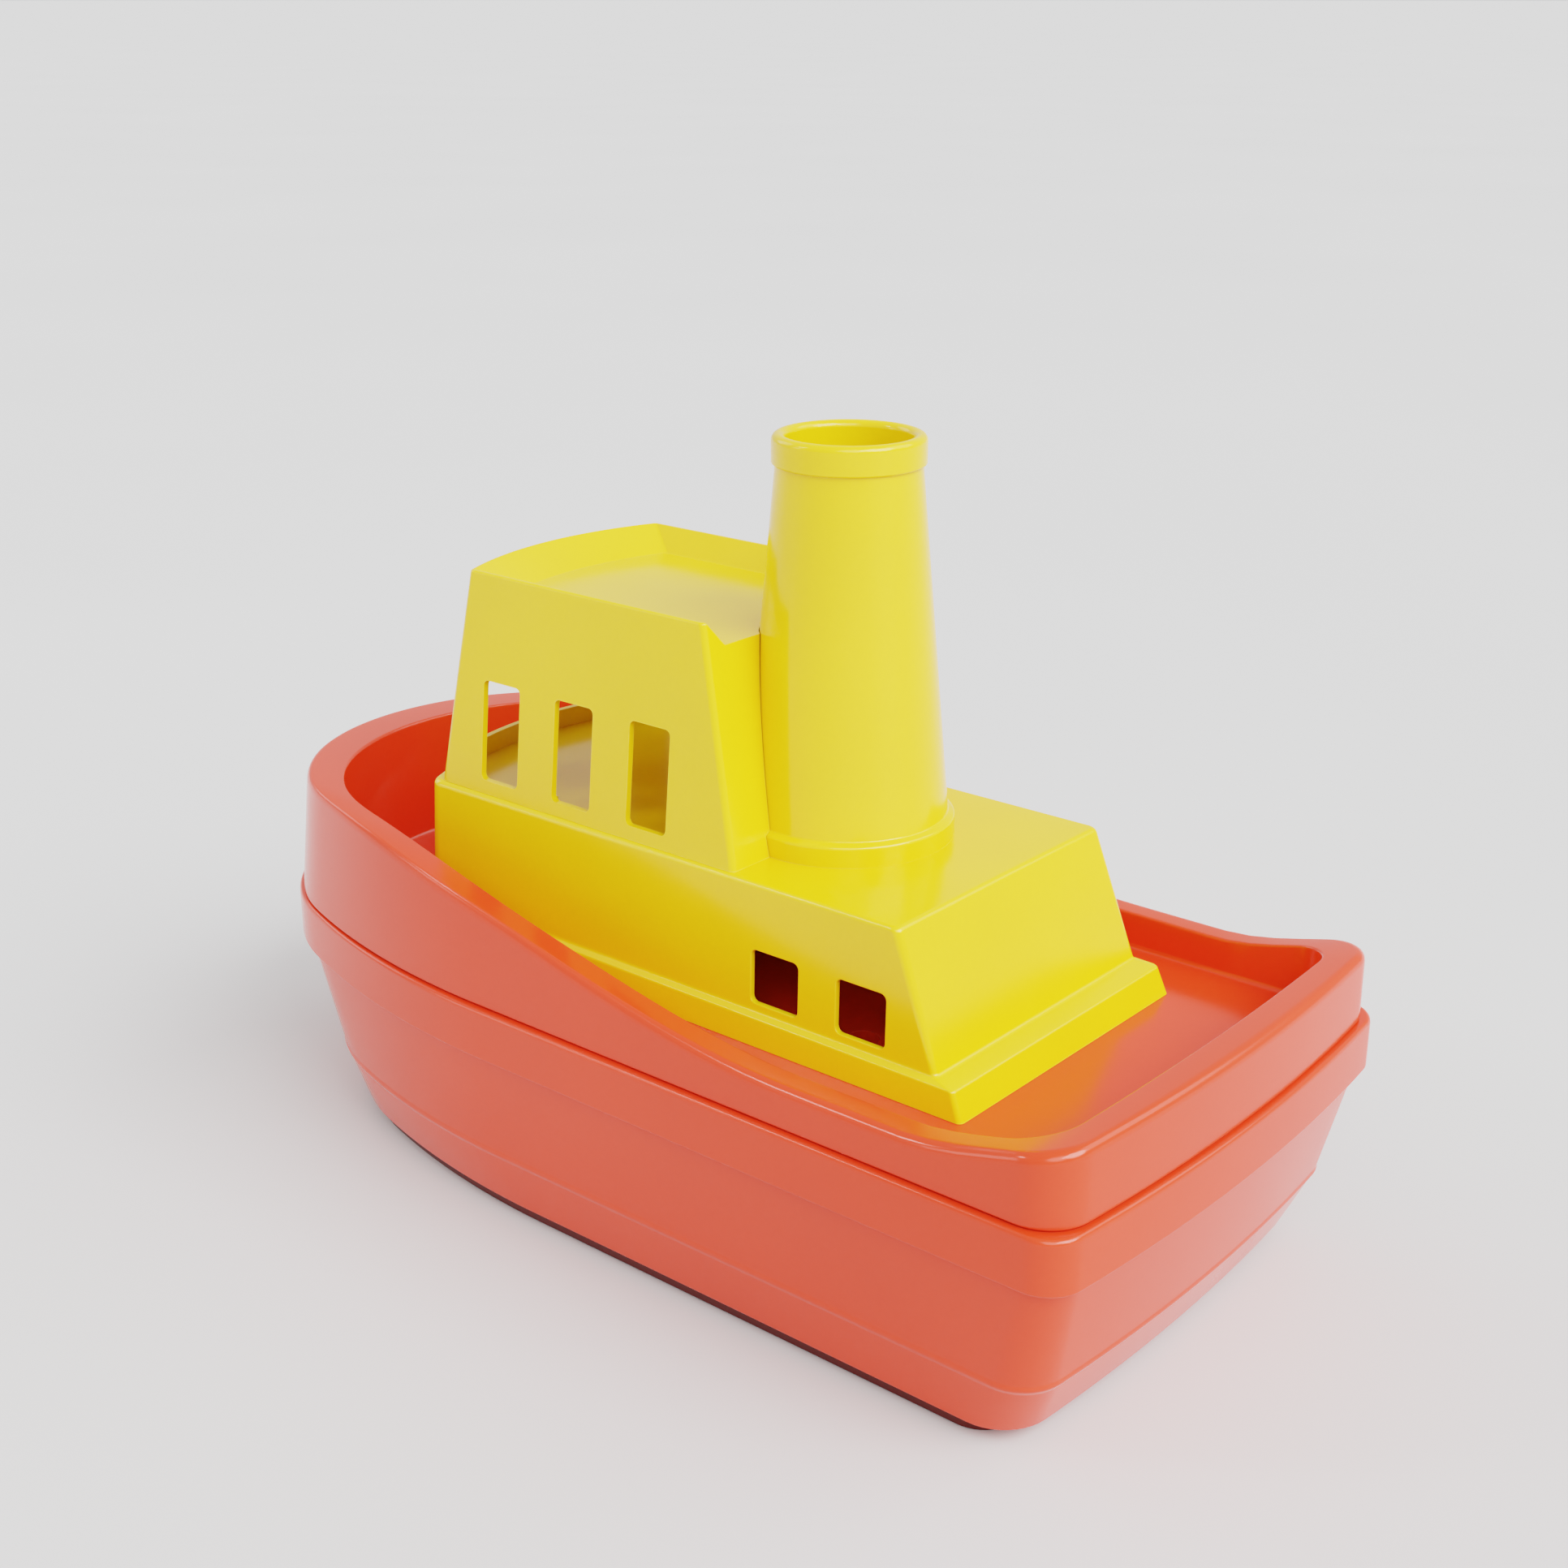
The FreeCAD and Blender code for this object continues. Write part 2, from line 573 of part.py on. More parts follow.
def funnel_ring():
    """(radius, z) points over the rolled ring at the top, from outside to inside."""
    low = FUNNEL_TOP_Z - FUNNEL_RING_H
    crown = FUNNEL_TOP_Z - FUNNEL_RING_ROUND_H
    middle = (FUNNEL_RING_R + FUNNEL_MOUTH_R) / 2
    half = (FUNNEL_RING_R - FUNNEL_MOUTH_R) / 2
    points = [(FUNNEL_RING_R - FUNNEL_RING_CHAMFER, low),
              (FUNNEL_RING_R, low + FUNNEL_RING_CHAMFER)]
    steps = 8
    for i in range(steps + 1):
        angle = math.pi * i / steps
        points.append((middle + half * math.cos(angle),
                       crown + FUNNEL_RING_ROUND_H * math.sin(angle)))
    return points + [(FUNNEL_MOUTH_R, low)]


def spigot_outside():
    """(radius, z) points up the spigot, with the bead that snaps under the roof."""
    low = CABIN_ROOF_Z - SPIGOT_L
    bead_top = CABIN_ROOF_Z - HOUSE_WALL - FIT
    return [(SPIGOT_R - SPIGOT_LEAD, low), (SPIGOT_R, low + SPIGOT_LEAD),
            (SPIGOT_R + SPIGOT_BEAD, bead_top - SPIGOT_BEAD), (SPIGOT_R, bead_top),
            (SPIGOT_R, CABIN_ROOF_Z)]


def make_funnel():
    """Tapered tube with a rolled ring, a collar on the roof and a spigot through it."""
    bore_foot = FUNNEL_FOOT_R - FUNNEL_WALL - FUNNEL_WALL * 0.8
    spigot_bore = SPIGOT_R - FUNNEL_WALL
    inside = [(bore_foot, CABIN_ROOF_Z + FUNNEL_WALL), (spigot_bore, CABIN_ROOF_Z - FUNNEL_WALL / 2),
              (spigot_bore, CABIN_ROOF_Z - SPIGOT_L)]
    return revolved(spigot_outside() + funnel_outline(0) + funnel_ring() + inside, FUNNEL_X)


# ---------------------------------------------------------------- export

SUB_PARTS = {
    "hull_shell": make_hull_shell,
    "deck_shell": make_deck_shell,
    "deck_screws": make_deck_screws,
    "cabin": make_cabin,
    "wheelhouse": make_wheelhouse,
    "funnel": make_funnel,
}

os.makedirs("parts", exist_ok=True)
for node, make in SUB_PARTS.items():
    make().exportStep(os.path.join("parts", node + ".step"))
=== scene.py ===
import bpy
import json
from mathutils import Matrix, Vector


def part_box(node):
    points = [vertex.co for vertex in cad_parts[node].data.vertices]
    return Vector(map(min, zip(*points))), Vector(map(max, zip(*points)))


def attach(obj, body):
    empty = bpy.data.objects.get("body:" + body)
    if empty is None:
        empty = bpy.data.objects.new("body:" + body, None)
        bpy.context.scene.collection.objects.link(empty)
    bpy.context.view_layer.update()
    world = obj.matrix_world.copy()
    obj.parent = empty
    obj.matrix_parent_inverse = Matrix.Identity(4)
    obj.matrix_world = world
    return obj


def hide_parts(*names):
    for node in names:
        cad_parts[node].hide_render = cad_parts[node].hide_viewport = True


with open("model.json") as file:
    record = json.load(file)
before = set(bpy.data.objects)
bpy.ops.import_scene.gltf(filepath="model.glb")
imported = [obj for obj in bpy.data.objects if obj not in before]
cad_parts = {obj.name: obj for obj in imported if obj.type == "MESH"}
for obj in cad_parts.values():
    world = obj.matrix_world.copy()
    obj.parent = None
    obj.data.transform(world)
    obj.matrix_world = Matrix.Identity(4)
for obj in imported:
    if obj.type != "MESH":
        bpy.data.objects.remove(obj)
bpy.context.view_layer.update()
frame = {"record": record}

# Toy boat in glossy moulded plastic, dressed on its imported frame.  The boat's lengths are
# in millimetres until a mesh is made, and the studio's are in metres.  +X is the bow, +Y is
# port and +Z is up.  The base, the groove, the chine, the windows and some edge radii
# differ a little from the CAD, each by under 2 mm.
import json
import math
from collections import namedtuple

import bmesh
import bpy
from mathutils import Vector

MM = 0.001

# ---------------------------------------------------------------- sizes from the frame


def node_box(node):
    """Lowest and highest corner of a CAD node, in millimetres."""
    return [Vector(corner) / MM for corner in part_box(node)]


HULL_BOX = node_box("hull_shell")
DECK_BOX = node_box("deck_shell")
CABIN_BOX = node_box("cabin")
HOUSE_BOX = node_box("wheelhouse")
FUNNEL_LOW, FUNNEL_HIGH = node_box("funnel")
SCREWS_LOW, SCREWS_HIGH = node_box("deck_screws")

# walls and gaps
HULL_WALL = 2.0
DECK_WALL = 1.6
HOUSE_WALL = 1.3
FIT = 0.15

# levels
BAND_TOP_Z = HULL_BOX[1].z
BAND_LOW_Z = BAND_TOP_Z - 10.6
SEAT_Z = BAND_TOP_Z - 3.6
CHINE_Z = BAND_TOP_Z - 33.3
BILGE_Z = 3.5                       # underside, over the set-in base
BASE_INSET = 2.2                    # at the sides and the bow
BASE_SHORT = 6.0                    # from the transom to the base
OVERHANG_Z = BAND_TOP_Z + 0.3       # underside of the bulwark, over the groove
OVERHANG = 0.6
CHINE_BEAD = 0.3                    # how far the rounded chine stands out
CHINE_BEAD_H = 1.0                  # and how far above and below it ends
DECK_Z = BAND_TOP_Z + 0.7
RIM_Z = DECK_BOX[1].z
SHEER_BOW_RISE = 19.6
SHEER_LOW = RIM_Z - SHEER_BOW_RISE
SHEER_BOW_X = (-55.0, 72.0)         # where the rise starts and where it is complete
SHEER_STERN_RISE = 6.5
SHEER_STERN_X = (-80.0, -116.0)
SKIRT_TOP_Z = DECK_Z + 5.5
CABIN_FOOT_Z = SKIRT_TOP_Z + 0.8
CABIN_ROOF_Z = CABIN_BOX[1].z
HOUSE_TOP_Z = HOUSE_BOX[1].z
ROOF_TRAY_Z = HOUSE_TOP_Z - 4.8
TRAY_RIM_W = 0.8                    # flat top of the wall round the roof tray

# funnel
FUNNEL_X = (FUNNEL_LOW.x + FUNNEL_HIGH.x) / 2
FUNNEL_TOP_Z = FUNNEL_HIGH.z
FUNNEL_COLLAR_R = FUNNEL_HIGH.y
FUNNEL_COLLAR_H = 4.0
FUNNEL_SHOULDER_H = 0.7             # from the collar's top to the tube's wall
FUNNEL_FOOT_R = FUNNEL_COLLAR_R - 0.9
FUNNEL_RING_R = FUNNEL_COLLAR_R - 6.7
FUNNEL_RING_H = 5.7
FUNNEL_NECK_R = FUNNEL_RING_R - 0.7
FUNNEL_MOUTH_R = FUNNEL_RING_R - 2.7
FUNNEL_WALL = 2.0
FUNNEL_STEPS = 128
SPIGOT_R = FUNNEL_COLLAR_R - 4.1
SPIGOT_BEAD = 0.5

# fixings
PEG_R = 2.8
PEG_DEPTH = 9.0                     # below the deck
PEG_PLACES = [(x, side * y) for x, y in ((-65.0, 26.0), (50.0, 22.0)) for side in (1, -1)]
SCREW_HEAD_R = 2.8
SCREW_R = 1.45
SCREW_TOP_Z = SCREWS_HIGH.z
SCREW_SEAT_Z = SCREW_TOP_Z - 1.9
SCREW_LAND_Z = SCREW_SEAT_Z - HULL_WALL
PILOT_FLOOR_Z = 5.0
RECESS_DEPTH = 1.1
RECESS_REACH = 1.5
RECESS_HALF_W = 0.3
THREAD_GAP = 0.05
SHANK_GAP = 0.1
HEAD_GAP = 0.3
SCREW_PLACES = [(x, y) for x in (SCREWS_LOW.x + SCREW_HEAD_R, SCREWS_HIGH.x - SCREW_HEAD_R)
                for y in (SCREWS_LOW.y + SCREW_HEAD_R, SCREWS_HIGH.y - SCREW_HEAD_R)]
BOSS_R = 4.4
CLIP_W = 6.0
CLIP_THICK = 1.5
CLIP_CATCH = 0.8
CLIP_CATCH_H = 0.4
CLIP_NOSE_H = 1.6
CLIP_SLACK = 0.1                    # between the catch and the roof that it holds
CLIP_Y = HOUSE_BOX[1].y - 4.0
CLIP_TOP_Z = CABIN_ROOF_Z + 2.4
AXIS_R = 0.02                       # a turned solid's ends stop just short of the axis

# windows: the openings in the record lie this far inside the real edges
OPENING_MARGIN = 0.6
WINDOW_CORNER_R = 1.2
WINDOW_EDGE_R = 0.25
CABIN_WINDOW_EDGE_R = 0.3
WINDSCREEN_CORNER_R = 2.0
WINDSCREEN_BACK = 6.0               # its cutter starts this far inside the room
WINDSCREEN_REACH = 60.0
AROUND = 1.2                        # half sizes from an opening's middle that are softened

# edge radii, from the base upwards
BASE_EDGE_R = 0.4
CREASE_R = 0.3
BILGE_EDGE_R = 0.5
CHINE_EDGE_R = 1.4
CHINE_BLEND_R = 1.6
BAND_CREASE_R = 0.4
BAND_EDGE_R = 0.5
BAND_LIP_R = 1.2
GROOVE_R = 0.1
OVERHANG_EDGE_R = 0.35
WELL_EDGE_R = 1.2
RIM_INNER_EDGE_R = 0.65
RIM_OUTER_EDGE_R = 2.0
LINING_EDGE_R = 0.4
SKIRT_EDGE_R = 0.8
CABIN_FOOT_R = 1.0
CABIN_ROOF_EDGE_R = 1.4
CEILING_R = 0.5
HOUSE_TOP_EDGE_R = 0.6
TRAY_EDGE_R = 0.8
FUNNEL_RING_EDGE_R = 1.3

# how far inside its outline each flat end face starts
HULL_CAP = 8.0
DECK_CAP = 6.0
ROOF_CAP = 6.0
CEILING_CAP = 8.0
HOUSE_CAP = 3.0
TRAY_CAP = 5.0

# ---------------------------------------------------------------- plan outlines

HullPlan = namedtuple("HullPlan", "z half bow stern side_r tip_r transom_r corner_r")
HousePlan = namedtuple("HousePlan", "z half front aft front_r fore_corner_r aft_corner_r")


def boxed_plan(kind, z, box, insets, *radii):
    """Outline set in from a node's box at the side, the fore end and the aft end."""
    low, high = box
    side, fore, aft = insets
    return kind(z, high.y - side, high.x - fore, low.x + aft, *radii)


BAND = boxed_plan(HullPlan, BAND_LOW_Z, HULL_BOX, (0.0, 0.0, 0.0), 192.0, 48.2, 430.0, 7.4)
WALL_TOP = boxed_plan(HullPlan, BAND_LOW_Z, HULL_BOX, (1.3, 2.7, 1.6), 190.0, 47.8, 430.0, 8.2)
CHINE = boxed_plan(HullPlan, CHINE_Z, HULL_BOX, (3.9, 11.8, 6.9), 172.0, 47.5, 440.0, 8.6)
BILGE = boxed_plan(HullPlan, BILGE_Z, HULL_BOX, (6.6, 17.1, 12.5), 197.0, 44.6, 466.0, 10.0)

DECK_EDGE = boxed_plan(HullPlan, OVERHANG_Z, DECK_BOX, (0.0, 0.0, 0.0), 190.0, 48.0, 430.0, 9.2)
RIM = boxed_plan(HullPlan, RIM_Z, DECK_BOX, (0.4, 4.6, 0.0), 167.0, 48.4, 430.0, 9.2)
RIM_INNER = boxed_plan(HullPlan, RIM_Z, DECK_BOX, (5.5, 15.5, 7.0), 300.0, 45.8, 700.0, 9.6)
WELL_FLOOR = boxed_plan(HullPlan, DECK_Z, DECK_BOX, (6.2, 16.8, 8.0), 300.0, 45.1, 700.0, 9.0)

SKIRT_FOOT = boxed_plan(HousePlan, DECK_Z, CABIN_BOX, (0.0, 0.0, 0.0), 76.0, 5.5, 1.2)
SKIRT_TOP = boxed_plan(HousePlan, SKIRT_TOP_Z, CABIN_BOX, (0.5, 1.0, 2.3), 75.0, 5.0, 1.1)
CABIN_FOOT = boxed_plan(HousePlan, CABIN_FOOT_Z, CABIN_BOX, (1.8, 3.2, 6.9), 74.0, 4.2, 1.2)
CABIN_ROOF = boxed_plan(HousePlan, CABIN_ROOF_Z, CABIN_BOX, (2.5, 4.6, 16.4), 72.0, 3.6, 1.6)

HOUSE_FOOT = boxed_plan(HousePlan, CABIN_ROOF_Z, HOUSE_BOX, (0.0, 0.0, 0.0), 70.0, 2.0, 1.2)
HOUSE_TOP = boxed_plan(HousePlan, HOUSE_TOP_Z, HOUSE_BOX, (4.4, 8.3, 10.7), 66.0, 1.6, 1.2)
# the roof tray runs out past the funnel's niche
TRAY_FLOOR = boxed_plan(HousePlan, ROOF_TRAY_Z, HOUSE_BOX, (9.1, 17.0, -36.1), 62.0, 1.0, 1.0)

# points along each stretch of a port half outline
TIP_STEPS = 24
SIDE_STEPS = 26
RUN_STEPS = 22
CORNER_STEPS = 10
TRANSOM_STEPS = 12
FRONT_STEPS = 20
ROUND_STEPS = 4                     # on each rounded edge
SHEER_PASSES = 6                    # to settle where a leaning wall meets the sheer
ROUND_SHARE = 0.48                  # most of a stretch that one rounded edge may take


def inset(plan, distance):
    """The same outline moved in all round, with its arcs kept concentric."""
    smaller = {"half": plan.half - distance}
    for name in plan._fields:
        if name in ("side_r", "tip_r", "transom_r", "front_r"):
            smaller[name] = getattr(plan, name) - distance
        elif name in ("corner_r", "fore_corner_r", "aft_corner_r"):
            smaller[name] = max(getattr(plan, name) - distance, 0.3)
        elif name in ("bow", "front"):
            smaller[name] = getattr(plan, name) - distance
        elif name in ("stern", "aft"):
            smaller[name] = getattr(plan, name) + distance
    return plan._replace(**smaller)


def at_height(lower, upper, z):
    """The outline at height z on the straight walls through two outlines."""
    share = (z - lower.z) / (upper.z - lower.z)
    return type(lower)(*[a + (b - a) * share for a, b in zip(lower, upper)])


def round_end_corner(centre_x, end_r, half, corner_r, way):
    """Centre and end angle of the corner between a side and a round end."""
    y = half - corner_r
    x = centre_x + way * math.sqrt((end_r - corner_r) ** 2 - y ** 2)
    return x, y, math.atan2(y, x - centre_x)


def arc_points(x, y, radius, start, end, steps):
    """Points along an arc, without its last one."""
    angles = [start + (end - start) * i / steps for i in range(steps)]
    return [(x + radius * math.cos(a), y + radius * math.sin(a)) for a in angles]


def line_points(start, end, steps):
    """Points along a line, without its last one."""
    return [tuple(a + (b - a) * i / steps for a, b in zip(start, end)) for i in range(steps)]


def hull_half(plan):
    """Port half of a hull outline, from the bow to the stern."""
    tip_x = plan.bow - plan.tip_r
    side_y = plan.half - plan.side_r
    side_x = tip_x - math.sqrt((plan.side_r - plan.tip_r) ** 2 - side_y ** 2)
    meet = math.atan2(-side_y, tip_x - side_x)
    transom_x = plan.stern + plan.transom_r
    corner_x, corner_y, corner_end = round_end_corner(
        transom_x, plan.transom_r, plan.half, plan.corner_r, -1)
    across = math.pi / 2
    points = arc_points(tip_x, 0, plan.tip_r, 0, meet, TIP_STEPS)
    points += arc_points(side_x, side_y, plan.side_r, meet, across, SIDE_STEPS)
    points += line_points((side_x, plan.half), (corner_x, plan.half), RUN_STEPS)
    points += arc_points(corner_x, corner_y, plan.corner_r, across, corner_end, CORNER_STEPS)
    points += arc_points(transom_x, 0, plan.transom_r, corner_end, math.pi, TRANSOM_STEPS)
    return points + [(plan.stern, 0)]


def house_half(plan):
    """Port half of a superstructure outline, from the front to the aft end."""
    front_x = plan.front - plan.front_r
    fore_x, fore_y, fore_end = round_end_corner(
        front_x, plan.front_r, plan.half, plan.fore_corner_r, 1)
    aft_x = plan.aft + plan.aft_corner_r
    aft_y = plan.half - plan.aft_corner_r
    across = math.pi / 2
    points = arc_points(front_x, 0, plan.front_r, 0, fore_end, FRONT_STEPS)
    points += arc_points(fore_x, fore_y, plan.fore_corner_r, fore_end, across, ROUND_STEPS)
    points += [(fore_x, plan.half)]
    points += arc_points(aft_x, aft_y, plan.aft_corner_r, across, math.pi, ROUND_STEPS)
    return points + [(plan.aft, aft_y), (plan.aft, 0)]


def ring(plan, z=None):
    """Whole outline as a closed ring of points, bow first, down the port side."""
    half = hull_half(plan) if isinstance(plan, HullPlan) else house_half(plan)
    level = plan.z if z is None else z
    port = [Vector((x, y, level)) for x, y in half]
    starboard = [Vector((x, -y, level)) for x, y in reversed(half[1:-1])]
    return port + starboard


# ---------------------------------------------------------------- the sheer

def smooth_share(x, span):
    """0 before the start of the span and 1 after its end, with an S-curve between."""
    share = (x - span[0]) / (span[1] - span[0])
    share = min(max(share, 0.0), 1.0)
    return 3 * share ** 2 - 2 * share ** 3


def sheer_height(x):
    """Height of the bulwark's top at a place along the boat."""
    bow = SHEER_BOW_RISE * smooth_share(x, SHEER_BOW_X)
    stern = SHEER_STERN_RISE * smooth_share(x, SHEER_STERN_X)
    return SHEER_LOW + bow + stern


def sheer_ring(lower, upper, drop=0.0):
    """Where the walls through two outlines reach the sheer, or drop below it."""
    points = []
    for low, high in zip(ring(lower), ring(upper)):
        point = low.copy()
        for _ in range(SHEER_PASSES):
            z = sheer_height(point.x) - drop
            point = low.lerp(high, (z - low.z) / (high.z - low.z))
        points.append(point)
    return points


# ---------------------------------------------------------------- mesh making

def corner_arc(before, corner, after, radius, steps):
    """Points that round the corner of a path to the radius."""
    back = before - corner
    on = after - corner
    turn = math.pi - back.angle(on)
    if radius == 0 or turn < math.radians(1):
        return [corner.copy() for _ in range(steps + 1)]
    reach = min(radius * math.tan(turn / 2), ROUND_SHARE * back.length, ROUND_SHARE * on.length)
    radius = reach / math.tan(turn / 2)
    centre = corner + (back.normalized() + on.normalized()).normalized() * radius / math.cos(turn / 2)
    start = corner + back.normalized() * reach - centre
    end = corner + on.normalized() * reach - centre
    points = []
    for i in range(steps + 1):
        share = i / steps
        point = start * math.sin((1 - share) * turn) + end * math.sin(share * turn)
        points.append(centre + point / math.sin(turn))
    return points


def rounded_rings(levels):
    """Rings for (ring, edge radius) levels, with each edge rounded column by column."""
    rings = [levels[0][0]]
    for (before, _), (corner, radius), (after, _) in zip(levels, levels[1:], levels[2:]):
        if radius == 0:
            rings.append(corner)
            continue
        fans = [corner_arc(*places, radius, ROUND_STEPS) for places in zip(before, corner, after)]
        rings += [list(level) for level in zip(*fans)]
    return rings + [levels[-1][0]]


def skin(levels, loop=False):
    """Closed bmesh through (ring, edge radius) levels, with end faces unless it is a loop."""
    rings = rounded_rings(levels)
    mesh = bmesh.new()
    rows = [[mesh.verts.new(point * MM) for point in level] for level in rings]
    pairs = list(zip(rows, rows[1:]))
    if loop:
        pairs.append((rows[-1], rows[0]))
    else:
        mesh.faces.new(rows[0])
        mesh.faces.new(rows[-1])
    for low, high in pairs:
        count = len(low)
        for i in range(count):
            after = (i + 1) % count
            mesh.faces.new((low[i], low[after], high[after], high[i]))
    bmesh.ops.recalc_face_normals(mesh, faces=mesh.faces)
    return mesh


def lathe(profile, axis_x=0.0, axis_y=0.0, steps=96):
    """Closed bmesh turned from a closed loop of (radius, z, edge radius) points."""
    count = len(profile)
    outline = []
    for i, (radius, z, edge) in enumerate(profile):
        before, after = profile[i - 1], profile[(i + 1) % count]
        places = [Vector((r, 0, height)) for r, height, _ in (before, (radius, z, edge), after)]
        outline += corner_arc(*places, edge, ROUND_STEPS) if edge else [places[1]]
    rings = []
    for point in outline:
        turns = [2 * math.pi * i / steps for i in range(steps)]
        rings.append([Vector((axis_x + point.x * math.cos(a), axis_y + point.x * math.sin(a), point.z))
                      for a in turns])
    return skin([(level, 0) for level in rings], loop=True)


def post(x, y, radius, low, high, steps=40):
    """Closed upright cylinder as a bmesh, for joining and cutting."""
    turns = [2 * math.pi * i / steps for i in range(steps)]
    circle = [(x + radius * math.cos(a), y + radius * math.sin(a)) for a in turns]
    return prism([Vector((px, py, low)) for px, py in circle], Vector((0, 0, high - low)))


def prism(outline, along):
    """Closed bmesh of an outline moved along a vector."""
    return skin([(outline, 0), ([point + along for point in outline], 0)])


def window_outline(half_w, low, high, radius, place):
    """Rounded rectangle, with place(across, z) giving its points."""
    corners = [(half_w - radius, high - radius, 0), (radius - half_w, high - radius, 1),
               (radius - half_w, low + radius, 2), (half_w - radius, low + radius, 3)]
    points = []
    for across, z, quarter in corners:
        for i in range(ROUND_STEPS + 1):
            angle = (quarter + i / ROUND_STEPS) * math.pi / 2
            points.append(place(across + radius * math.cos(angle), z + radius * math.sin(angle)))
    return points


WELD = 0.002                        # points closer than this become one
CUT_EDGE_ANGLE = math.radians(35)   # edges sharper than this can be softened
SHARP_ANGLE = math.radians(38)      # and sharper than this aren't shaded smooth


def combined(base, others, operation):
    """The base bmesh joined with, or cut by, the others."""
    target = loose_object("base", base)
    for other in others:
        tool = loose_object("tool", other)
        change = target.modifiers.new("combine", "BOOLEAN")
        change.operation = operation
        change.solver = "EXACT"
        change.object = tool
    solved = target.evaluated_get(bpy.context.evaluated_depsgraph_get()).to_mesh()
    result = bmesh.new()
    result.from_mesh(solved)
    tools = [change.object for change in target.modifiers]
    for used in tools + [target]:
        mesh = used.data
        bpy.data.objects.remove(used)
        bpy.data.meshes.remove(mesh)
    bmesh.ops.remove_doubles(result, verts=result.verts, dist=WELD * MM)
    bmesh.ops.dissolve_degenerate(result, edges=result.edges, dist=WELD * MM)
    return result


def loose_object(name, mesh):
    """A scene object made from a bmesh, which is freed."""
    data = bpy.data.meshes.new(name)
    mesh.to_mesh(data)
    mesh.free()
    made = bpy.data.objects.new(name, data)
    bpy.context.scene.collection.objects.link(made)
    return made


def joined(base, others):
    """The base bmesh with the others added."""
    return combined(base, others, "UNION")


def cut(base, others):
    """The base bmesh with the others taken away."""
    return combined(base, others, "DIFFERENCE")


def soften(mesh, radius, where):
    """Bevels the sharp edges whose two ends pass where(point in millimetres)."""
    sharp = []
    for edge in mesh.edges:
        if len(edge.link_faces) == 2 and edge.calc_face_angle(0) > CUT_EDGE_ANGLE:
            if all(where(vert.co / MM) for vert in edge.verts):
                sharp.append(edge)
    bmesh.ops.bevel(mesh, geom=sharp, offset=radius * MM, offset_type="OFFSET", segments=2,
                    profile=0.5, affect="EDGES", clamp_overlap=True)
    return mesh


def piece(name, mesh, material, body, node):
    """Finished object that stands for a CAD node and moves with its body."""
    made = loose_object(name, mesh)
    made.data.materials.append(material)
    made.data.shade_smooth()
    made.data.set_sharp_from_angle(angle=SHARP_ANGLE)
    weighted = made.modifiers.new("even_shading", "WEIGHTED_NORMAL")
    weighted.keep_sharp = True
    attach(made, body)
    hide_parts(node)


# ---------------------------------------------------------------- materials

def new_material(name):
    """An empty material, and make(type, {input: value}, **settings) that adds its nodes."""
    material = bpy.data.materials.new(name)
    material.use_nodes = True
    tree = material.node_tree
    tree.nodes.clear()

    def make(kind, inputs=None, **settings):
        made = tree.nodes.new(kind)
        for name, value in settings.items():
            setattr(made, name, value)
        for socket, value in (inputs or {}).items():
            if isinstance(value, bpy.types.NodeSocket):
                tree.links.new(value, made.inputs[socket])
            else:
                made.inputs[socket].default_value = value
        return made

    return material, make


def noise(make, where, scale, detail, low, high):
    """Noise in the object's own space, remapped to the range."""
    pattern = make("ShaderNodeTexNoise", {"Vector": where, "Scale": scale, "Detail": detail})
    return make("ShaderNodeMapRange", {
        "Value": pattern.outputs[0], "From Min": 0.3, "From Max": 0.7,
        "To Min": low, "To Max": high}).outputs[0]


def edge_mask(make, width):
    """1 on outer edges narrower than the width, fading to 0 on faces."""
    rounded = make("ShaderNodeBevel", {"Radius": width * MM}, samples=6)
    flat = make("ShaderNodeNewGeometry").outputs["Normal"]
    same = make("ShaderNodeVectorMath", {0: rounded.outputs[0], 1: flat}, operation="DOT_PRODUCT")
    return make("ShaderNodeMapRange", {
        "Value": same.outputs["Value"], "From Min": 0.98, "From Max": 0.80,
        "To Min": 0.0, "To Max": 1.0}).outputs[0]


RED = (0.76, 0.045, 0.012)
RED_WORN = (0.84, 0.16, 0.09, 1.0)
YELLOW = (0.86, 0.54, 0.008)
YELLOW_WORN = (0.92, 0.68, 0.16, 1.0)
# painted shade for the recess under the bilge edge, over the set-in base: how much of the colour it hides,
# its near-black red and the height in millimetres over which it fades
PAINTED_SHADE = 0.93                        # share of the plastic's own colour that it hides
PAINTED_SHADE_COLOUR = (0.03, 0.0015, 0.001, 1.0)
PAINTED_SHADE_FADE = 0.2
WEAR_WIDTH = 0.5


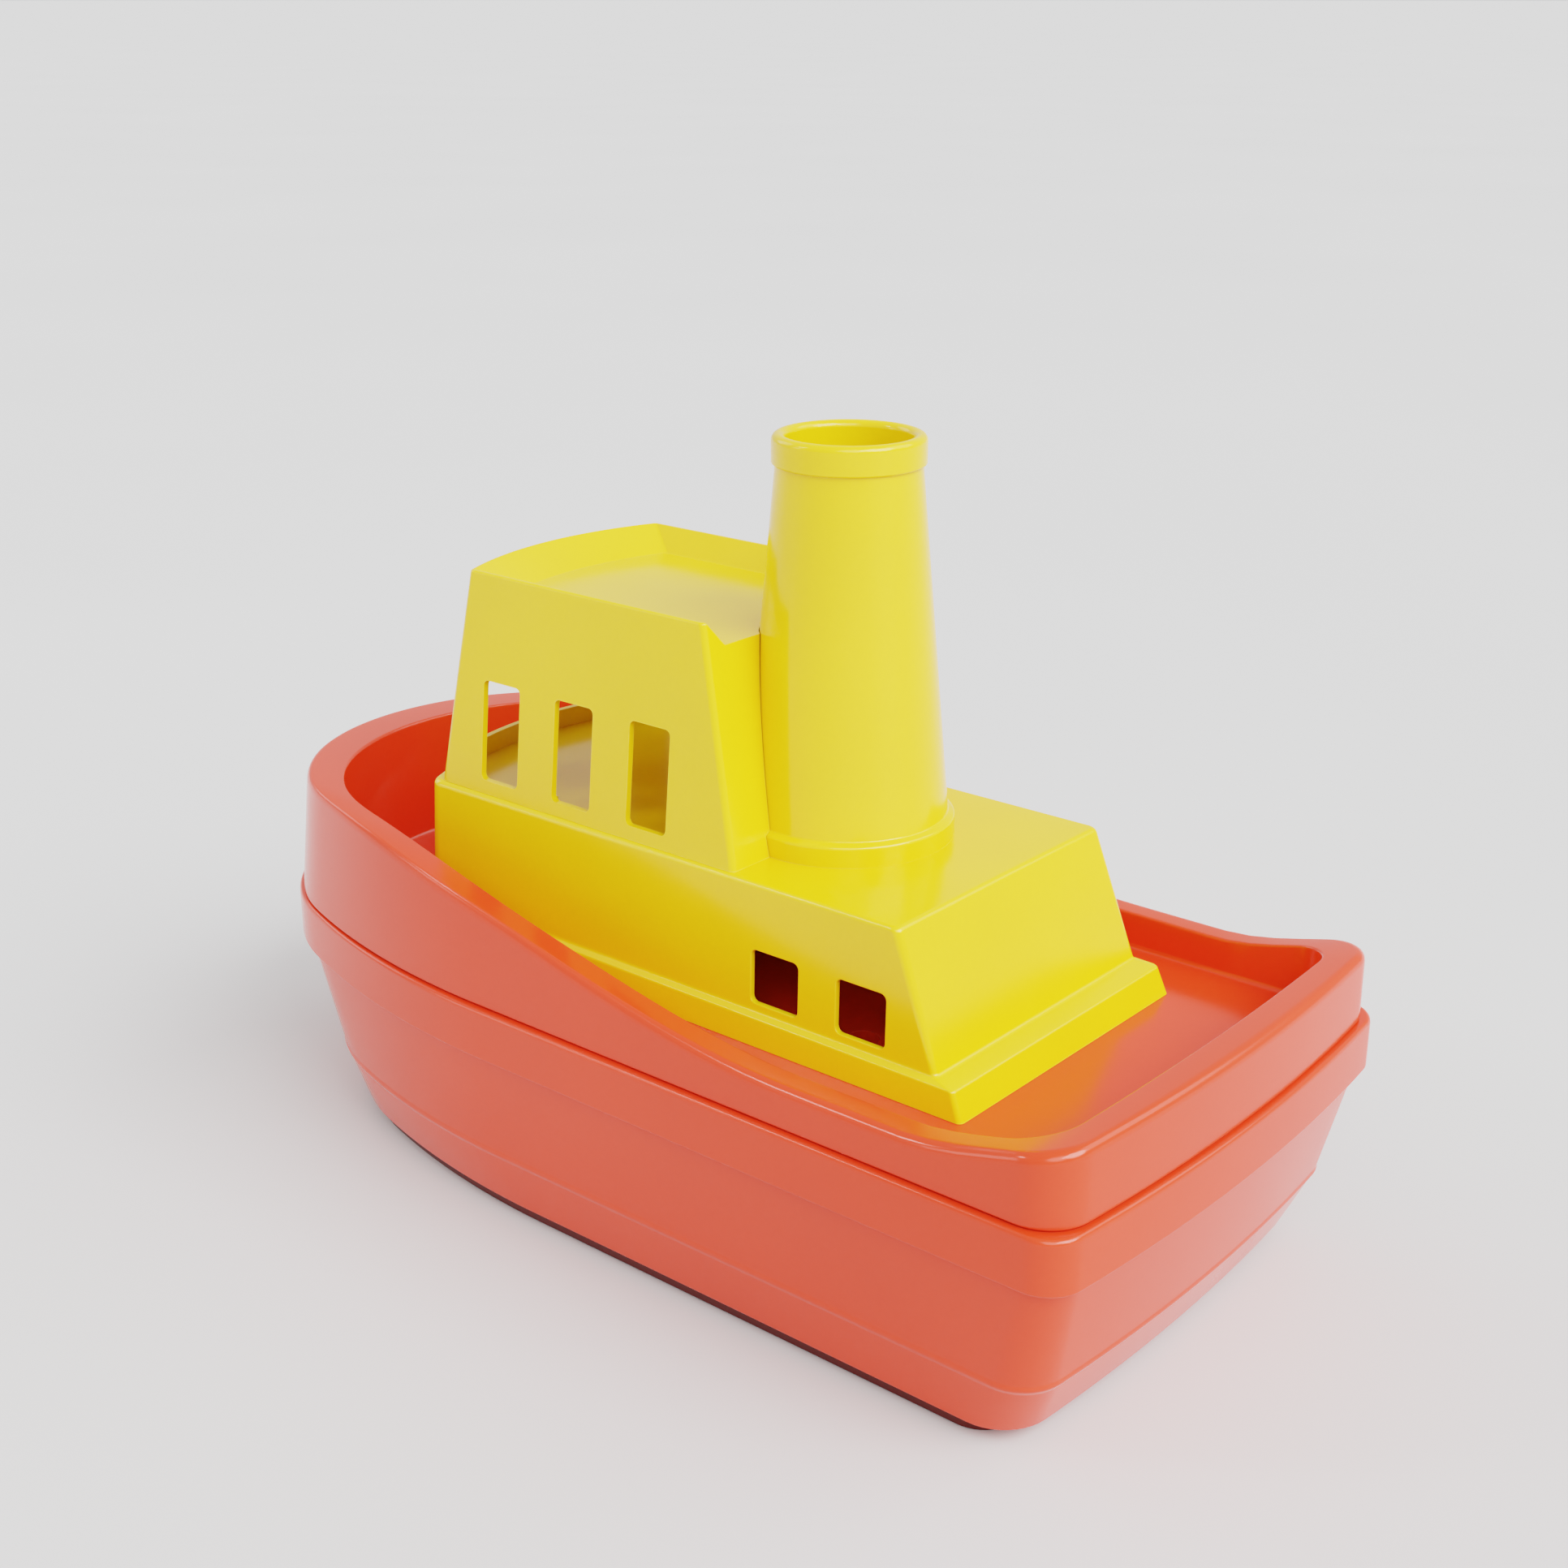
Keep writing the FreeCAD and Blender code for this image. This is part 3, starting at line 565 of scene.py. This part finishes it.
def plastic(name, colour, worn_colour, painted_shade_top=None):
    """Glossy moulded plastic: faint clouding, fine flow texture, scuffs and worn edges.

    Below the height given as its last argument, in millimetres, it is darkened with painted shade that
    stands in for the shadow in the recess at the foot.
    """
    material, make = new_material(name)
    where = make("ShaderNodeTexCoord").outputs["Object"]

    clouding = noise(make, where, 28.0, 3.0, 0.96, 1.03)
    grain = noise(make, where, 900.0, 2.0, 0.985, 1.015)
    strength = make("ShaderNodeMath", {0: clouding, 1: grain}, operation="MULTIPLY").outputs[0]
    base = make("ShaderNodeVectorMath", {0: colour, "Scale": strength}, operation="SCALE")
    edges = edge_mask(make, WEAR_WIDTH)
    patches = noise(make, where, 120.0, 4.0, 0.0, 0.35)
    wear = make("ShaderNodeMath", {0: edges, 1: patches}, operation="MULTIPLY").outputs[0]
    tint = make("ShaderNodeMix", {0: wear, 6: base.outputs[0], 7: worn_colour}, data_type="RGBA")
    # painted shade: darker below the given height, standing in for the shadow in the recess under the
    # bilge edge
    if painted_shade_top is not None:
        height = make("ShaderNodeSeparateXYZ", {0: where}).outputs["Z"]
        painted_shade = make("ShaderNodeMapRange", {
            "Value": height, "From Min": (painted_shade_top - PAINTED_SHADE_FADE) * MM, "From Max": painted_shade_top * MM,
            "To Min": PAINTED_SHADE, "To Max": 0.0}).outputs[0]
        tint = make("ShaderNodeMix", {0: painted_shade, 6: tint.outputs[2], 7: PAINTED_SHADE_COLOUR}, data_type="RGBA")

    smears = noise(make, where, 45.0, 5.0, 0.13, 0.20)
    scuffs = make("ShaderNodeMath", {0: smears, 1: wear}, operation="ADD").outputs[0]

    flow = make("ShaderNodeTexNoise", {"Vector": where, "Scale": 90.0, "Detail": 2.0})
    fine = make("ShaderNodeTexNoise", {"Vector": where, "Scale": 2600.0, "Detail": 2.0})
    soft = make("ShaderNodeBump", {"Height": flow.outputs[0], "Strength": 0.05, "Distance": 0.05 * MM})
    bump = make("ShaderNodeBump", {"Height": fine.outputs[0], "Strength": 0.10,
                                   "Distance": 0.01 * MM, "Normal": soft.outputs[0]})

    shader = make("ShaderNodeBsdfPrincipled", {
        "Base Color": tint.outputs[2], "Roughness": scuffs, "IOR": 1.46,
        "Subsurface Weight": 0.06, "Subsurface Scale": 1.5 * MM,
        "Subsurface Radius": (1.0, 0.6, 0.3), "Normal": bump.outputs[0]})
    make("ShaderNodeOutputMaterial", {"Surface": shader.outputs[0]})
    return material


def screw_steel():
    """Zinc-plated steel with fine turning marks and uneven brightness."""
    material, make = new_material("screw_steel")
    where = make("ShaderNodeTexCoord").outputs["Object"]
    stretched = make("ShaderNodeMapping", {"Vector": where, "Scale": (1.0, 1.0, 8.0)})
    marks = make("ShaderNodeTexNoise", {"Vector": stretched.outputs[0], "Scale": 900.0, "Detail": 4.0})
    tone = make("ShaderNodeMapRange", {"Value": marks.outputs[0], "To Min": 0.46, "To Max": 0.72})
    dull = make("ShaderNodeMapRange", {"Value": marks.outputs[0], "To Min": 0.25, "To Max": 0.45})
    bump = make("ShaderNodeBump", {"Height": marks.outputs[0], "Strength": 0.2, "Distance": 0.02 * MM})
    shader = make("ShaderNodeBsdfPrincipled", {
        "Base Color": tone.outputs[0], "Metallic": 1.0, "Roughness": dull.outputs[0],
        "Normal": bump.outputs[0]})
    make("ShaderNodeOutputMaterial", {"Surface": shader.outputs[0]})
    return material


def floor_paper():
    """Pale matt paper with a faint unevenness."""
    material, make = new_material("floor_paper")
    where = make("ShaderNodeTexCoord").outputs["Object"]
    tone = noise(make, where, 3.0, 2.0, 0.61, 0.63)
    shader = make("ShaderNodeBsdfPrincipled", {"Base Color": tone, "Roughness": 0.55})
    make("ShaderNodeOutputMaterial", {"Surface": shader.outputs[0]})
    return material


# ---------------------------------------------------------------- hull pieces

def hull_tray():
    """Lower hull: flat bottom, chine, rubbing band with a rolled lip, and its inside."""
    collar = inset(DECK_EDGE, OVERHANG - FIT)
    base = inset(BILGE, BASE_INSET)._replace(stern=BILGE.stern + BASE_SHORT)
    floor = at_height(BILGE, CHINE, BILGE_Z + HULL_WALL)
    pocket = inset(base, HULL_WALL)
    bead = inset(CHINE, -CHINE_BEAD)
    levels = [
        (ring(inset(base, HULL_CAP), 0.0), 0),
        (ring(base, 0.0), BASE_EDGE_R),
        (ring(base), CREASE_R),
        (ring(BILGE), BILGE_EDGE_R),
        (ring(at_height(BILGE, CHINE, CHINE_Z - CHINE_BEAD_H)), CHINE_BLEND_R),
        (ring(bead), CHINE_EDGE_R),
        (ring(at_height(CHINE, WALL_TOP, CHINE_Z + CHINE_BEAD_H)), CHINE_BLEND_R),
        (ring(WALL_TOP), BAND_CREASE_R),
        (ring(BAND), BAND_EDGE_R),
        (ring(BAND, BAND_TOP_Z), BAND_LIP_R),
        (ring(collar, BAND_TOP_Z), GROOVE_R),
        (ring(collar, SEAT_Z), CREASE_R),
        (ring(inset(WALL_TOP, HULL_WALL), SEAT_Z), CREASE_R),
        (ring(inset(CHINE, HULL_WALL)), 0),
        (ring(inset(floor, HULL_WALL)), 0),
        (ring(pocket, floor.z), CREASE_R),
        (ring(pocket, HULL_WALL), CREASE_R),
        (ring(inset(pocket, HULL_CAP), HULL_WALL), 0),
    ]
    bosses = [post(x, y, BOSS_R, HULL_WALL / 2, SCREW_LAND_Z) for x, y in SCREW_PLACES]
    pilots = [post(x, y, SCREW_R + THREAD_GAP, PILOT_FLOOR_Z, SCREW_LAND_Z + 1) for x, y in SCREW_PLACES]
    return cut(joined(skin(levels), bosses), pilots)


def deck_and_bulwark():
    """Deck with its hollow bulwark, peg sockets and screw wells."""
    floor_under = DECK_Z - DECK_WALL
    lining = [inset(plan, -DECK_WALL) for plan in (WELL_FLOOR, RIM_INNER)]
    hidden = [inset(plan, DECK_WALL) for plan in (DECK_EDGE, RIM)]
    shoulder = at_height(DECK_EDGE, RIM, OVERHANG_Z + DECK_WALL)
    nested = inset(DECK_EDGE, OVERHANG)
    inside = inset(nested, DECK_WALL)
    levels = [
        (ring(inset(WELL_FLOOR, DECK_CAP)), 0),
        (ring(WELL_FLOOR), WELL_EDGE_R),
        (sheer_ring(WELL_FLOOR, RIM_INNER), RIM_INNER_EDGE_R),
        (sheer_ring(DECK_EDGE, RIM), RIM_OUTER_EDGE_R),
        (ring(DECK_EDGE), OVERHANG_EDGE_R),
        (ring(nested), GROOVE_R),
        (ring(nested, SEAT_Z), CREASE_R),
        (ring(inside, SEAT_Z), CREASE_R),
        (ring(inside), CREASE_R),
        (ring(inset(shoulder, DECK_WALL)), CREASE_R),
        (sheer_ring(*hidden, drop=DECK_WALL), LINING_EDGE_R),
        (sheer_ring(*lining, drop=DECK_WALL), LINING_EDGE_R),
        (ring(lining[0], floor_under), LINING_EDGE_R),
        (ring(inset(WELL_FLOOR, DECK_CAP), floor_under), 0),
    ]
    under = DECK_Z - DECK_WALL / 2
    socket_low = DECK_Z - PEG_DEPTH - 2 * DECK_WALL
    tubes = [post(x, y, BOSS_R, SCREW_LAND_Z, under) for x, y in SCREW_PLACES]
    tubes += [post(x, y, PEG_R + DECK_WALL + FIT, socket_low, under) for x, y in PEG_PLACES]
    holes = [post(x, y, SCREW_HEAD_R + HEAD_GAP, SCREW_SEAT_Z, DECK_Z + 1) for x, y in SCREW_PLACES]
    holes += [post(x, y, PEG_R + FIT, socket_low + DECK_WALL, DECK_Z + 1) for x, y in PEG_PLACES]
    shanks = [post(x, y, SCREW_R + SHANK_GAP, SCREW_LAND_Z - 1, SCREW_SEAT_Z + 1)
              for x, y in SCREW_PLACES]
    deck = cut(cut(joined(skin(levels), tubes), holes), shanks)

    def at_hole(point):
        on_deck = point.z > DECK_Z - 0.1
        return on_deck and SKIRT_TOP.aft < point.x < SKIRT_TOP.front and abs(point.y) < CABIN_ROOF.half

    return soften(deck, CREASE_R, at_hole)


def deck_screws():
    """Pan-head screws with a cross recess."""
    tip = SCREWS_LOW.z
    profile = [(AXIS_R, tip, 0), (SCREW_R * 0.5, tip, 0), (SCREW_R, tip + 2, 0.3),
               (SCREW_R, SCREW_SEAT_Z, 0.1), (SCREW_HEAD_R, SCREW_SEAT_Z, 0.2),
               (SCREW_HEAD_R - 0.1, SCREW_TOP_Z, 0.8), (AXIS_R, SCREW_TOP_Z, 0)]
    recess_z = SCREW_TOP_Z - RECESS_DEPTH
    result = bmesh.new()
    for x, y in SCREW_PLACES:
        bars = []
        for wide, tall in ((RECESS_REACH, RECESS_HALF_W), (RECESS_HALF_W, RECESS_REACH)):
            corners = ((1, 1), (-1, 1), (-1, -1), (1, -1))
            outline = [Vector((x + wide * a, y + tall * b, recess_z)) for a, b in corners]
            bars.append(prism(outline, Vector((0, 0, 2))))
        screw = loose_object("screw", cut(lathe(profile, x, y, 40), bars))
        result.from_mesh(screw.data)
        bpy.data.objects.remove(screw)
    return result


# ---------------------------------------------------------------- superstructure pieces

def stated_opening(name):
    """Centre and half size of an opening in the record, grown to its real edges."""
    for opening in frame["record"]["physics"]["openings"]:
        if opening["name"] == name:
            low, high = [Vector(corner) / MM for corner in opening["box_m"]]
            return (low + high) / 2, (high - low) / 2 + Vector.Fill(3, OPENING_MARGIN)
    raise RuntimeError("no opening named " + name)


def side_window(name):
    """Cutter through both side walls for a window and its twin across the boat."""
    centre, half = stated_opening(name)
    reach = BAND.half

    def place(across, z):
        return Vector((centre.x + across, -reach, z))

    outline = window_outline(half.x, centre.z - half.z, centre.z + half.z, WINDOW_CORNER_R, place)
    return prism(outline, Vector((0, 2 * reach, 0)))


def windscreen():
    """Cutter through the front wall of the wheelhouse."""
    centre, half = stated_opening("windscreen")
    start = centre.x - half.x - WINDSCREEN_BACK

    def place(across, z):
        return Vector((start, across, z))

    outline = window_outline(half.y, centre.z - half.z, centre.z + half.z, WINDSCREEN_CORNER_R, place)
    return prism(outline, Vector((WINDSCREEN_REACH, 0, 0)))


def cut_to_cabin(rib):
    """The rib kept inside the middle of the cabin's walls, and whole below the deck."""
    middle = HOUSE_WALL / 2
    keep = skin([(ring(inset(CABIN_ROOF, middle)), 0), (ring(inset(CABIN_FOOT, middle)), 0),
                 (ring(inset(SKIRT_TOP, middle)), 0), (ring(inset(SKIRT_FOOT, middle), 0), 0)])
    return combined(rib, [keep], "INTERSECT")


def cabin_shell():
    """Lower cabin on its flared skirt, open underneath, with its pegs."""
    ceiling = at_height(CABIN_FOOT, CABIN_ROOF, CABIN_ROOF_Z - HOUSE_WALL)
    levels = [
        (ring(inset(CABIN_ROOF, ROOF_CAP)), 0),
        (ring(CABIN_ROOF), CABIN_ROOF_EDGE_R),
        (ring(CABIN_FOOT), CABIN_FOOT_R),
        (ring(SKIRT_TOP), SKIRT_EDGE_R),
        (ring(SKIRT_FOOT), GROOVE_R),
        (ring(inset(SKIRT_FOOT, HOUSE_WALL)), 0),
        (ring(inset(SKIRT_TOP, HOUSE_WALL)), 0),
        (ring(inset(CABIN_FOOT, HOUSE_WALL)), 0),
        (ring(inset(ceiling, HOUSE_WALL)), CEILING_R),
        (ring(inset(ceiling, CEILING_CAP)), 0),
    ]
    names = ["port_cabin_window_%d" % i for i in (1, 2)]
    shell = cut(skin(levels), [side_window(name) for name in names])
    centre, half = stated_opening(names[-1])

    def at_window(point):
        beside = point.x < centre.x + AROUND * half.x and abs(point.y) > CABIN_ROOF.half - 3 * HOUSE_WALL
        return beside and abs(point.z - centre.z) < AROUND * half.z

    shell = soften(shell, CABIN_WINDOW_EDGE_R, at_window)
    pegs = [cut_to_cabin(post(x, y, PEG_R, DECK_Z - PEG_DEPTH, CABIN_ROOF_Z - HOUSE_WALL / 2))
            for x, y in PEG_PLACES]
    hole = post(FUNNEL_X, 0, SPIGOT_R + FIT, CABIN_ROOF_Z - 10, CABIN_ROOF_Z + 1)
    return cut(joined(shell, pegs), [hole])


def funnel_outline(grow):
    """(radius, z, edge radius) up the outside of the funnel above the roof."""
    collar_top = CABIN_ROOF_Z + FUNNEL_COLLAR_H
    neck_z = FUNNEL_TOP_Z - FUNNEL_RING_H
    rise = (FUNNEL_FOOT_R - FUNNEL_NECK_R) / (neck_z - CABIN_ROOF_Z)
    at_collar = FUNNEL_FOOT_R - rise * (FUNNEL_COLLAR_H + FUNNEL_SHOULDER_H)
    return [(FUNNEL_COLLAR_R + grow, CABIN_ROOF_Z, 0), (FUNNEL_COLLAR_R + grow, collar_top, 0.7),
            (at_collar + grow, collar_top + FUNNEL_SHOULDER_H, 0.5),
            (FUNNEL_NECK_R + grow, neck_z, 0.1)]


def funnel_space(grow):
    """Closed solid round the funnel, for the niche in the wheelhouse."""
    outline = [(radius, z, 0) for radius, z, _ in funnel_outline(grow)]
    low_z = CABIN_ROOF_Z - 1
    foot = [(AXIS_R, low_z, 0), (FUNNEL_COLLAR_R + grow, low_z, 0)]
    return lathe(foot + outline + [(AXIS_R, outline[-1][1], 0)], FUNNEL_X)


def clip(x, side):
    """Snap clip inside a side wall of the wheelhouse, with its catch under the roof."""
    under = CABIN_ROOF_Z - HOUSE_WALL - CLIP_SLACK
    tip_z = under - CLIP_NOSE_H
    wall_y = HOUSE_FOOT.half - HOUSE_WALL / 2
    outer_y = CLIP_Y + CLIP_THICK
    catch_y = CLIP_Y - CLIP_CATCH
    profile = [(CLIP_Y, CLIP_TOP_Z), (wall_y, CLIP_TOP_Z), (wall_y, CABIN_ROOF_Z), (outer_y, CABIN_ROOF_Z),
               (outer_y, tip_z), (CLIP_Y, tip_z), (catch_y, under - CLIP_CATCH_H), (catch_y, under),
               (CLIP_Y, under)]
    outline = [Vector((x - CLIP_W / 2, side * y, z)) for y, z in profile]
    return prism(outline, Vector((CLIP_W, 0, 0)))


def wheelhouse_shell():
    """Wheelhouse with its roof tray, windows, windscreen and the niche for the funnel."""
    block = skin([(ring(inset(HOUSE_TOP, HOUSE_CAP)), 0), (ring(HOUSE_TOP), HOUSE_TOP_EDGE_R),
                  (ring(HOUSE_FOOT), 0), (ring(inset(HOUSE_FOOT, HOUSE_CAP)), 0)])
    tray_top = inset(HOUSE_TOP, TRAY_RIM_W)._replace(aft=TRAY_FLOOR.aft)
    over = at_height(TRAY_FLOOR, tray_top, HOUSE_TOP_Z + 2)
    tray = skin([(ring(inset(TRAY_FLOOR, TRAY_CAP)), 0), (ring(TRAY_FLOOR), TRAY_EDGE_R),
                 (ring(over), 0), (ring(inset(over, TRAY_CAP)), 0)])
    ceiling = at_height(HOUSE_FOOT, HOUSE_TOP, ROOF_TRAY_Z - HOUSE_WALL)
    below = at_height(HOUSE_FOOT, HOUSE_TOP, CABIN_ROOF_Z - 1)
    room = skin([(ring(inset(below, HOUSE_WALL)), 0), (ring(inset(ceiling, HOUSE_WALL)), 0)])
    room = cut(room, [funnel_space(FIT + HOUSE_WALL)])
    names = ["port_wheelhouse_window_%d" % i for i in (1, 2, 3)]
    windows = [side_window(name) for name in names]
    shell = cut(cut(block, [tray]), [room])
    shell = cut(shell, windows + [windscreen()])
    shell = cut(shell, [funnel_space(FIT)])
    centre, half = stated_opening("windscreen")
    shell = soften(shell, WINDOW_EDGE_R, lambda point: abs(point.z - centre.z) < AROUND * half.z)
    shell = soften(shell, WINDOW_EDGE_R, lambda point: point.z > ROOF_TRAY_Z - 0.1)
    centres = [stated_opening(name)[0].x for name in names]
    between = [(fore + aft) / 2 for fore, aft in zip(centres, centres[1:])]
    return joined(shell, [clip(x, side) for x in between for side in (1, -1)])


def funnel_tube():
    """Tapered tube with a rolled ring, a collar on the roof and a spigot through it."""
    ring_low = FUNNEL_TOP_Z - FUNNEL_RING_H
    spigot_end = FUNNEL_LOW.z
    bead = CABIN_ROOF_Z - HOUSE_WALL - 0.2
    profile = [
        (SPIGOT_R - 1, spigot_end, 0.2), (SPIGOT_R, spigot_end + 1, 0.2),
        (SPIGOT_R + SPIGOT_BEAD, bead - 0.5, 0.2), (SPIGOT_R, bead, 0.1), (SPIGOT_R, CABIN_ROOF_Z, 0),
    ]
    profile += funnel_outline(0)
    profile += [
        (FUNNEL_RING_R, ring_low + 0.2, 0.35), (FUNNEL_RING_R, FUNNEL_TOP_Z, FUNNEL_RING_EDGE_R),
        (FUNNEL_MOUTH_R, FUNNEL_TOP_Z, FUNNEL_RING_EDGE_R), (FUNNEL_MOUTH_R, ring_low, 0.3),
        (FUNNEL_FOOT_R - FUNNEL_WALL - 1.6, CABIN_ROOF_Z + 2, 0.5),
        (SPIGOT_R - FUNNEL_WALL, CABIN_ROOF_Z - 1, 0.3), (SPIGOT_R - FUNNEL_WALL, spigot_end, 0.2),
    ]
    return lathe(profile, FUNNEL_X, 0.0, FUNNEL_STEPS)


# ---------------------------------------------------------------- studio

CAMERA_PLACE = (-0.2702, 0.3108, 0.2329)
CAMERA_PITCH = math.radians(70.18)
CAMERA_YAW = math.radians(-140.03)
LENS = 50.0                         # focal length and sensor width in millimetres
SENSOR_WIDTH = 36.0
FLOOR_REACH = 400.0                 # far enough to fill the camera's view
SKY_STRENGTH = 0.76
# (name, azimuth, elevation, spread, strength), with the angles in degrees
LIGHTS = [
    ("key", 180, 40, 40, 3.5),
    ("port_fill", 135, 40, 40, 1.25),
    ("starboard_fill", 225, 40, 40, 0.85),
    ("sparkle", 150, 42, 5, 0.20),
    ("rim_high", 45, 36, 10, 0.28),
    ("rim_low", 45, 14, 16, 0.16),
    ("bow_fill", 5, 25, 30, 0.40),
]


def add_floor():
    """Pale floor that fills the view behind the boat."""
    data = bmesh.new()
    bmesh.ops.create_grid(data, x_segments=12, y_segments=12, size=FLOOR_REACH)
    floor = loose_object("studio_floor", data)
    floor.data.materials.append(floor_paper())


def add_light(name, azimuth, elevation, spread, strength):
    """Far soft light that comes from a direction."""
    lamp = bpy.data.lights.new(name, "SUN")
    lamp.angle = math.radians(spread)
    lamp.energy = strength
    around = math.radians(azimuth)
    up = math.radians(elevation)
    towards = Vector((math.cos(around) * math.cos(up), math.sin(around) * math.cos(up), math.sin(up)))
    holder = bpy.data.objects.new(name, lamp)
    holder.rotation_euler = towards.to_track_quat("Z", "Y").to_euler()
    bpy.context.scene.collection.objects.link(holder)


def add_world(strength):
    """Even white light from all round."""
    world = bpy.data.worlds.new("studio")
    world.use_nodes = True
    background = world.node_tree.nodes["Background"]
    background.inputs[0].default_value = (1.0, 1.0, 1.0, 1.0)
    background.inputs[1].default_value = strength
    bpy.context.scene.world = world


def add_camera():
    """Camera at the chosen view of the port quarter, with the whole floor in its range."""
    lens = bpy.data.cameras.new("photo_camera")
    lens.lens = LENS
    lens.sensor_width = SENSOR_WIDTH
    lens.clip_start = 0.01
    lens.clip_end = 2.5 * FLOOR_REACH
    camera = bpy.data.objects.new("photo_camera", lens)
    camera.location = CAMERA_PLACE
    camera.rotation_euler = (CAMERA_PITCH, 0.0, CAMERA_YAW)
    bpy.context.scene.collection.objects.link(camera)
    bpy.context.scene.camera = camera


# ---------------------------------------------------------------- build

# the red gets painted shade on its foot below the bilge edge
red = plastic("red_plastic", RED, RED_WORN, BILGE_Z - BILGE_EDGE_R)
yellow = plastic("yellow_plastic", YELLOW, YELLOW_WORN)
steel = screw_steel()

piece("hull_tray", hull_tray(), red, "hull", "hull_shell")
piece("deck_and_bulwark", deck_and_bulwark(), red, "hull", "deck_shell")
piece("deck_screw_set", deck_screws(), steel, "hull", "deck_screws")
piece("cabin_moulding", cabin_shell(), yellow, "superstructure", "cabin")
piece("wheelhouse_moulding", wheelhouse_shell(), yellow, "superstructure", "wheelhouse")
piece("funnel_moulding", funnel_tube(), yellow, "superstructure", "funnel")

add_floor()
add_world(SKY_STRENGTH)
for light in LIGHTS:
    add_light(*light)
add_camera()
bpy.context.scene.view_settings.view_transform = "Filmic"
bpy.context.scene.view_settings.look = "Medium High Contrast"
